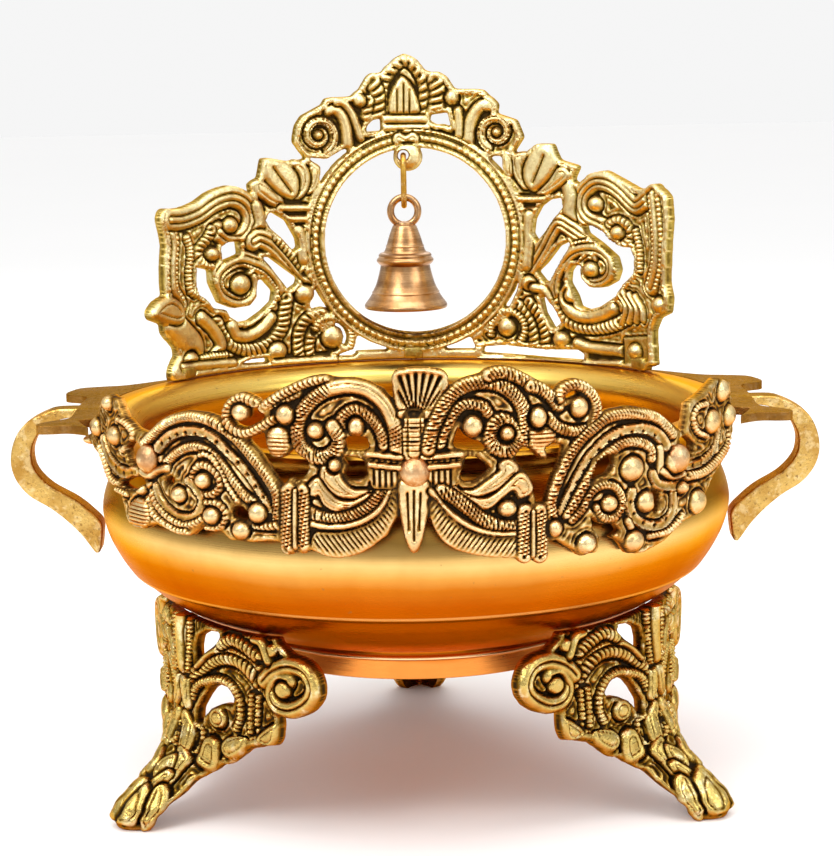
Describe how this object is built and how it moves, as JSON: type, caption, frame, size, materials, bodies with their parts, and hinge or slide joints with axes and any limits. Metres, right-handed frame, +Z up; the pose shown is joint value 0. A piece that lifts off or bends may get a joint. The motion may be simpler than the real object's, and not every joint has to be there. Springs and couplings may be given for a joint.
{
  "type": "footed bowl with hanging bell",
  "caption": "Round brass bowl on cast scroll legs, with a pierced front panel, strap handles, and an arched back panel whose ring holds a hanging bell and clapper.",
  "frame": {"origin": "on the ground under the middle of the bowl", "axes": "+Z up, front fretwork panel towards -Y, back arch towards +Y, handles along X"},
  "size_m": [0.3316, 0.2808, 0.2962],
  "materials": {
    "spun_brass": "satin, turned rings, warm lacquer",
    "antique_brass": "polished high parts over dark patina",
    "satin_brass": "satin with fine casting pits",
    "bell_bronze": "satin turned bronze",
    "screw_brass": "dull"
  },
  "bodies": {
    "stand": {"bowl": "spun_brass", "front_panel": "antique_brass", "arch_panel": "antique_brass", "leg_left": "antique_brass", "leg_right": "antique_brass", "leg_rear": "antique_brass", "panel_pin_middle": "antique_brass", "panel_pin_left": "antique_brass", "panel_pin_right": "antique_brass", "handle_left": "satin_brass", "handle_right": "satin_brass", "panel_bush_middle": "satin_brass", "panel_bush_left": "satin_brass", "panel_bush_right": "satin_brass", "arch_screw_left": "screw_brass", "arch_screw_middle": "screw_brass", "arch_screw_right": "screw_brass", "leg_screw_left_a": "screw_brass", "leg_screw_left_b": "screw_brass", "leg_screw_right_a": "screw_brass", "leg_screw_right_b": "screw_brass", "leg_screw_rear_a": "screw_brass", "leg_screw_rear_b": "screw_brass"},
    "link": {"hanging_link": "satin_brass"},
    "bell": {"bell": "bell_bronze", "clapper_staple": "bell_bronze"},
    "clapper": {"clapper": "bell_bronze"}
  },
  "joints": [
    {"name": "link_rock", "type": "hinge", "parent": "stand", "child": "link", "pos_m": [-0.003, 0.1238, 0.2455], "axis": [1, 0, 0], "range_deg": [-30, 30]},
    {"name": "bell_swing", "type": "hinge", "parent": "link", "child": "bell", "pos_m": [-0.003, 0.1238, 0.2276], "axis": [0, 1, 0], "range_deg": [-24, 5]},
    {"name": "clapper_swing", "type": "hinge", "parent": "bell", "child": "clapper", "pos_m": [-0.003, 0.1238, 0.209], "axis": [1, 0, 0], "range_deg": [-18, 18]}
  ]
}
